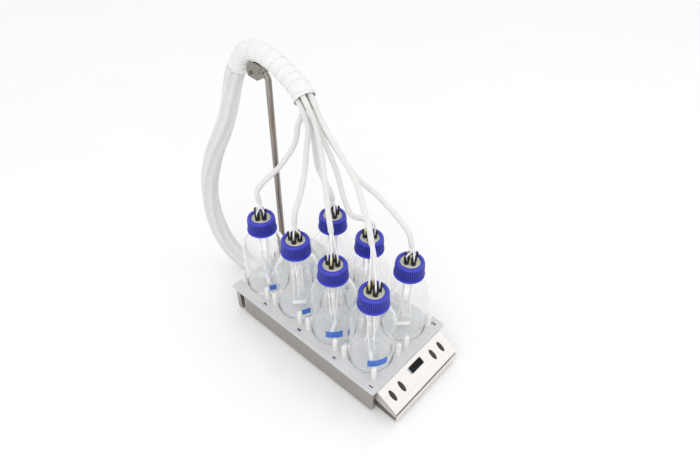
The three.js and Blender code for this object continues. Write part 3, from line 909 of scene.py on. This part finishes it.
def add_insert(position, x, y):
    body = f"insert_{position}"
    disc = [
        (0, 168.8), (21.5, 168.8), (21.5, 171), (18.2, 171), (18.2, 173), (17.7, 173.5), (15.2, 173.5),
        (14.8, 173.1), (14.4, 173.5), (0, 173.5),
    ]
    insert = piece(f"insert_disc_{position}", lathe_parts(disc, 64, (x, y, STAND)), BEIGE, body)
    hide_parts(f"port_insert_{position}")
    base = [
        (0, 0), (4.6, 0), (4.6, 2.4), (4.2, 2.8), (4.2, 4.4), (4.6, 4.8), (4.6, 7), (2.5, 7.2),
        (2.5, 6.2), (0, 6.2),
    ]
    fittings = []
    facing = math.radians(FITTING_YAW[position - 1] - 90)
    for fx, fy, _ in fitting_places(position, x, y):
        top = STAND + DISC_TOP
        fittings.append(lathe_parts(base, 24, (fx, fy, top)))
        for side in (-1, 1):
            fittings.append(claw_parts((fx, fy), facing + (side + 1) * math.pi / 2, top + 6.8, top + 16.5))
    piece(f"fittings_{position}", merged(*fittings), BLACK_PLASTIC, body, 40)
    add_thin_tubes(position, x, y)


AMBER_ENDS = {1: (0, 1), 3: (2,), 4: (1,), 5: (0,), 6: (0,)}


def add_thin_tubes(position, x, y):
    """From each fitting up into the end of its sleeve, and down into the bottle."""
    body = f"insert_{position}"
    route = smooth_route(SLEEVE_ROUTES[position])
    mouth = route[-1]
    heading = (route[-1] - route[-3]).normalized()
    tubes = []
    ambers = []
    dips = []
    top = STAND + DISC_TOP
    for number, (fx, fy, angle) in enumerate(fitting_places(position, x, y)):
        spread = Vector((math.cos(angle), math.sin(angle), 0)) * 2.2
        spread -= heading * spread.dot(heading)
        start = Vector((fx, fy, top + 6))
        rise = Vector((fx, fy, top + 17))
        below = mouth + heading * 9 + spread * 1.2
        points = [start, rise, below, mouth + spread, mouth - heading * 5 + spread]
        tubes.append(tube_parts(even_steps(smooth_route(points), 2.5), THIN_RADIUS, 12))
        if number in AMBER_ENDS.get(position, ()):
            path = [Vector((fx, fy, top + z)) for z in (6.2, 8, 14, 19, 21.5)]
            ambers.append(tube_parts(path, 2.1, 14))
        lean = 7 + 5 * math.sin(2.7 * number + position)
        foot = Vector((x, y, STAND + 30 + 11 * math.sin(1.9 * number + 2 * position)))
        foot += Vector((math.cos(angle + 0.9), math.sin(angle + 0.9), 0)) * lean
        path = smooth_route([
            Vector((fx, fy, STAND + 168.9)), Vector((fx, fy, STAND + 140)),
            Vector((fx, fy, STAND + 90)).lerp(foot, 0.4), foot,
        ])
        dips.append(tube_parts(path, THIN_RADIUS, 12))
    piece(f"thin_tubes_{position}", merged(*tubes), PTFE, body, 50)
    piece(f"dip_tubes_{position}", merged(*dips), PTFE, body, 50)
    if ambers:
        piece(f"amber_ends_{position}", merged(*ambers), AMBER, body, 50)


def add_stir_bar(position, x, y):
    half = STIR_BAR["length"] / 2
    r = STIR_BAR["radius"]
    profile = [
        (0, -half), (r * 0.45, -half + 0.3), (r * 0.8, -half + 1.2), (r * 0.97, -half + 2.6), (r, -half + 4),
        (r, -1.6), (r - 0.1, -1.5), (r, -1.2), (r, 1.2), (r - 0.1, 1.5), (r, 1.6), (r, half - 4),
        (r * 0.97, half - 2.6), (r * 0.8, half - 1.2), (r * 0.45, half - 0.3), (0, half),
    ]
    yaw = math.radians(STIR_BAR["yaw"][position - 1])
    matrix = (
        Matrix.Translation((x, y, STAND + STIR_BAR["centre"]))
        @ Matrix.Rotation(yaw, 4, "Z") @ Matrix.Rotation(math.pi / 2, 4, "Y")
    )
    bar = piece(
        f"stirring_bar_{position}", moved(lathe_parts(profile, 28), matrix), PTFE,
        f"stir_bar_{position}", 40,
    )
    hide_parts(f"stir_bar_{position}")


def add_bottles():
    for position in BOTTLES:
        x, y = place_of(position)
        parts = lathe_parts(glass_profile(), 96, (x, y, STAND))
        bottle = piece(f"glass_bottle_{position}", parts, GLASS, f"bottle_{position}", 60)
        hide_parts(f"bottle_{position}")
        add_prints(position, x, y)
        add_cap(position, x, y)
        add_insert(position, x, y)
        add_stir_bar(position, x, y)


# Tube harness
BAND_PITCH = 19
BAND_STEP = 1.0
BAND_INSET = 0.7
SEAM = {"depth": 1.3, "turn": 0.98, "width": 0.024}
MOUTH = {"flare": 2, "fade": 20, "sides": 72, "rings": ((0, 1.2), (14, 2.0))}
SLEEVE_SIDES = 22
SLEEVE_INSIDE = 12


def add_wrap():
    route = even_steps(smooth_route(WRAP_ROUTE), 1)
    total = len(route) - 1

    def radius_at(index, angle):
        turn = (index / BAND_PITCH + angle / (2 * math.pi)) % 1
        lip = BAND_STEP * (1 - turn) - SEAM["depth"] * math.exp(-((turn - SEAM["turn"]) / SEAM["width"]) ** 2)
        flare = MOUTH["flare"] * math.exp(-index / MOUTH["fade"])
        return WRAP_RADIUS - BAND_INSET + lip + flare

    sides = MOUTH["sides"]
    vertices, faces = tube_parts(route, radius_at, sides)
    faces = faces[:-2]
    wrap_ends = []
    pairs = frames_along(route)
    for index, inward in ((0, 1), (total, -1)):
        rim = [radius_at(index, 2 * math.pi * k / sides) for k in range(sides)]
        base = index * sides
        for depth, less in MOUTH["rings"]:
            point = route[index + inward * depth]
            side, up = pairs[index + inward * depth]
            ring = len(vertices)
            for k in range(sides):
                angle = 2 * math.pi * k / sides
                r = rim[k] - less
                vertices.append(point + side * (r * math.cos(angle)) + up * (r * math.sin(angle)))
            for k in range(sides):
                n = (k + 1) % sides
                corners = (base + k, base + n, ring + n, ring + k)
                faces.append(corners if inward < 0 else tuple(reversed(corners)))
            base = ring
        wrap_ends.append(base)
    for base, inward in zip(wrap_ends, (1, -1)):
        cap = tuple(range(base, base + sides))
        faces.append(cap if inward > 0 else tuple(reversed(cap)))
    wrap = piece("wound_band", (vertices, faces), WRAP_WHITE, "stirrer", 32)
    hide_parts("spiral_wrap")


def add_sleeves():
    for position in BOTTLES:
        points = [Vector(p) for p in SLEEVE_ROUTES[position]]
        inside = points[0] + (points[0] - points[1]).normalized() * SLEEVE_INSIDE
        route = even_steps(smooth_route([inside, *points]), 4)
        vertices, faces = tube_parts(route, SLEEVE_RADIUS, SLEEVE_SIDES)
        parts = hollow_end(vertices, faces, route, SLEEVE_SIDES)
        sleeve = piece(f"tube_sleeve_{position}", parts, SLEEVE_WHITE, None, 50)
        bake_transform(sleeve)
        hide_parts(f"sleeve_{position}")


def hollow_end(vertices, faces, route, sides):
    """Opens the last end of a tube into a short bore with a rounded rim."""
    faces = faces[:-1]
    base = (len(route) - 1) * sides
    pairs = frames_along(route)
    for depth, less in ((0, 0.9), (2, 1.0)):
        point = route[len(route) - 1 - depth]
        side, up = pairs[len(route) - 1 - depth]
        ring = len(vertices)
        for k in range(sides):
            angle = 2 * math.pi * k / sides
            r = SLEEVE_RADIUS - less
            vertices.append(point + side * (r * math.cos(angle)) + up * (r * math.sin(angle)))
        for k in range(sides):
            n = (k + 1) % sides
            faces.append((base + k, base + n, ring + n, ring + k))
        base = ring
    faces.append(tuple(range(base, base + sides)))
    return vertices, faces


# Stage
def add_stage():
    mesh = bpy.data.meshes.new("floor")
    mesh.from_pydata([(-6, -6, 0), (6, -6, 0), (6, 6, 0), (-6, 6, 0)], [], [(0, 1, 2, 3)])
    floor = bpy.data.objects.new("floor", mesh)
    material = shader("floor white", (0.95, 0.95, 0.95), 0.12)
    mottle = pattern(material, 3)
    tint(material, mottle, (0.945, 0.945, 0.945), (0.955, 0.955, 0.955))
    mesh.materials.append(material)
    bpy.context.scene.collection.objects.link(floor)
    floor.location.z = -0.0005

    world = bpy.data.worlds.new("studio")
    world.use_nodes = True
    world.node_tree.nodes["Background"].inputs["Color"].default_value = (1, 1, 1, 1)
    world.node_tree.nodes["Background"].inputs["Strength"].default_value = 0.97
    bpy.context.scene.world = world
    add_light("key", (-1.3, -0.9, 1.9), 1.6, 10)
    add_light("fill", (1.4, -1.2, 1.5), 1.8, 3)
    bpy.context.scene.view_settings.view_transform = "Standard"
    # Many glass walls stand one behind the other
    bpy.context.scene.cycles.max_bounces = 24
    bpy.context.scene.cycles.transmission_bounces = 24
    bpy.context.scene.cycles.transparent_max_bounces = 32


def add_light(name, location, size, power):
    data = bpy.data.lights.new(name, "AREA")
    data.size = size
    data.energy = power
    light = bpy.data.objects.new(name, data)
    light.location = location
    light.rotation_euler = (Vector((0, 0, 0.15)) - Vector(location)).to_track_quat("-Z", "Y").to_euler()
    bpy.context.scene.collection.objects.link(light)


add_base()
add_drive()
add_plate()
add_digits()
add_console()
add_support()
add_bottles()
add_wrap()
add_sleeves()
add_stage()
